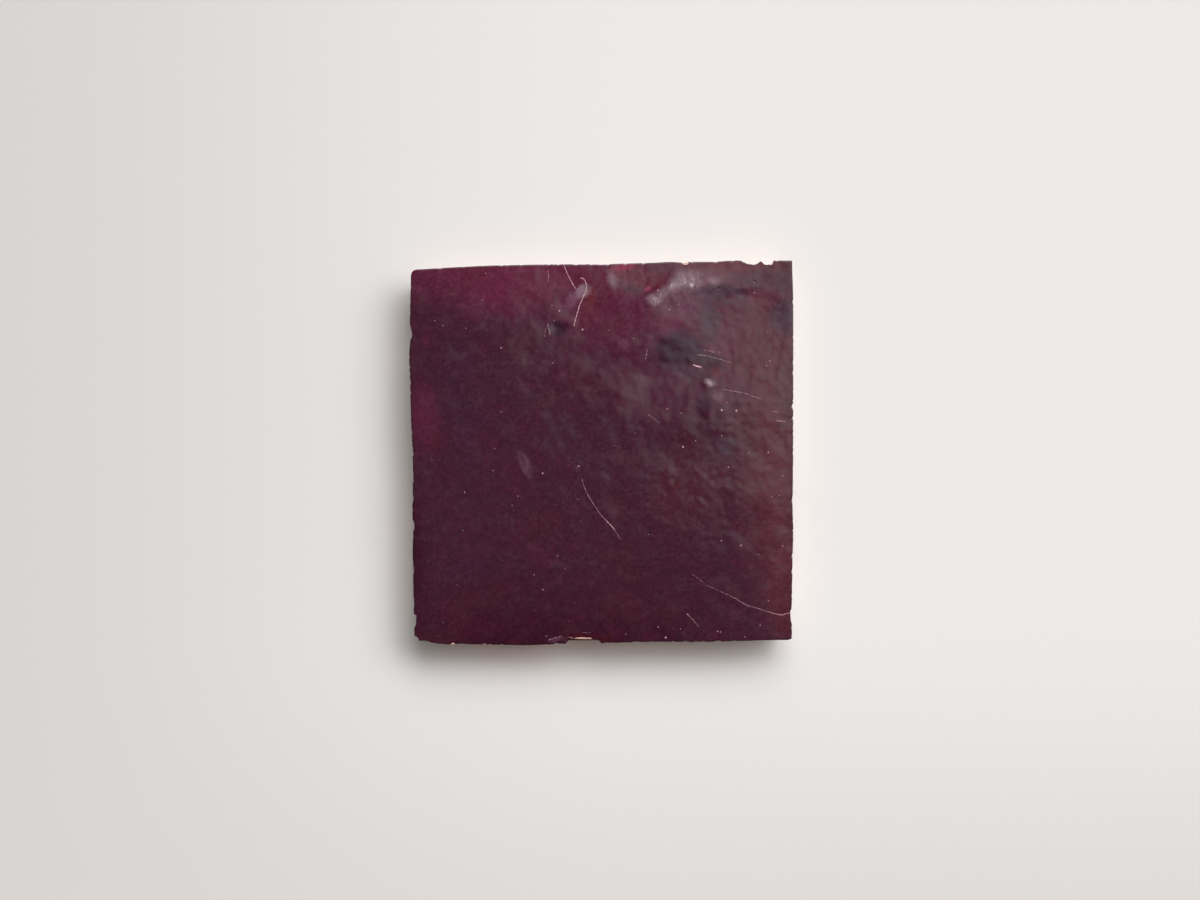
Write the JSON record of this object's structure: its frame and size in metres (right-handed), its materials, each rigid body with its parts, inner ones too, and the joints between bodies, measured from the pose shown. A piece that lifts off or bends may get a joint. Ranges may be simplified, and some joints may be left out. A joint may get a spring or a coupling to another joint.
{
  "type": "zellige tile",
  "caption": "Square hand-cut glazed clay tile with a wavy plum glaze face, chipped edges and undercut sides over a flat back.",
  "frame": {"origin": "middle of the flat back, under the middle of the tile's outline", "axes": "+Z out of the glazed face, X and Y along the sides"},
  "size_m": [0.1004, 0.1006, 0.012],
  "materials": {
    "glaze": "glossy hand-dipped glaze over fired clay"
  },
  "bodies": {
    "root": {"tile": "glaze"}
  },
  "joints": []
}
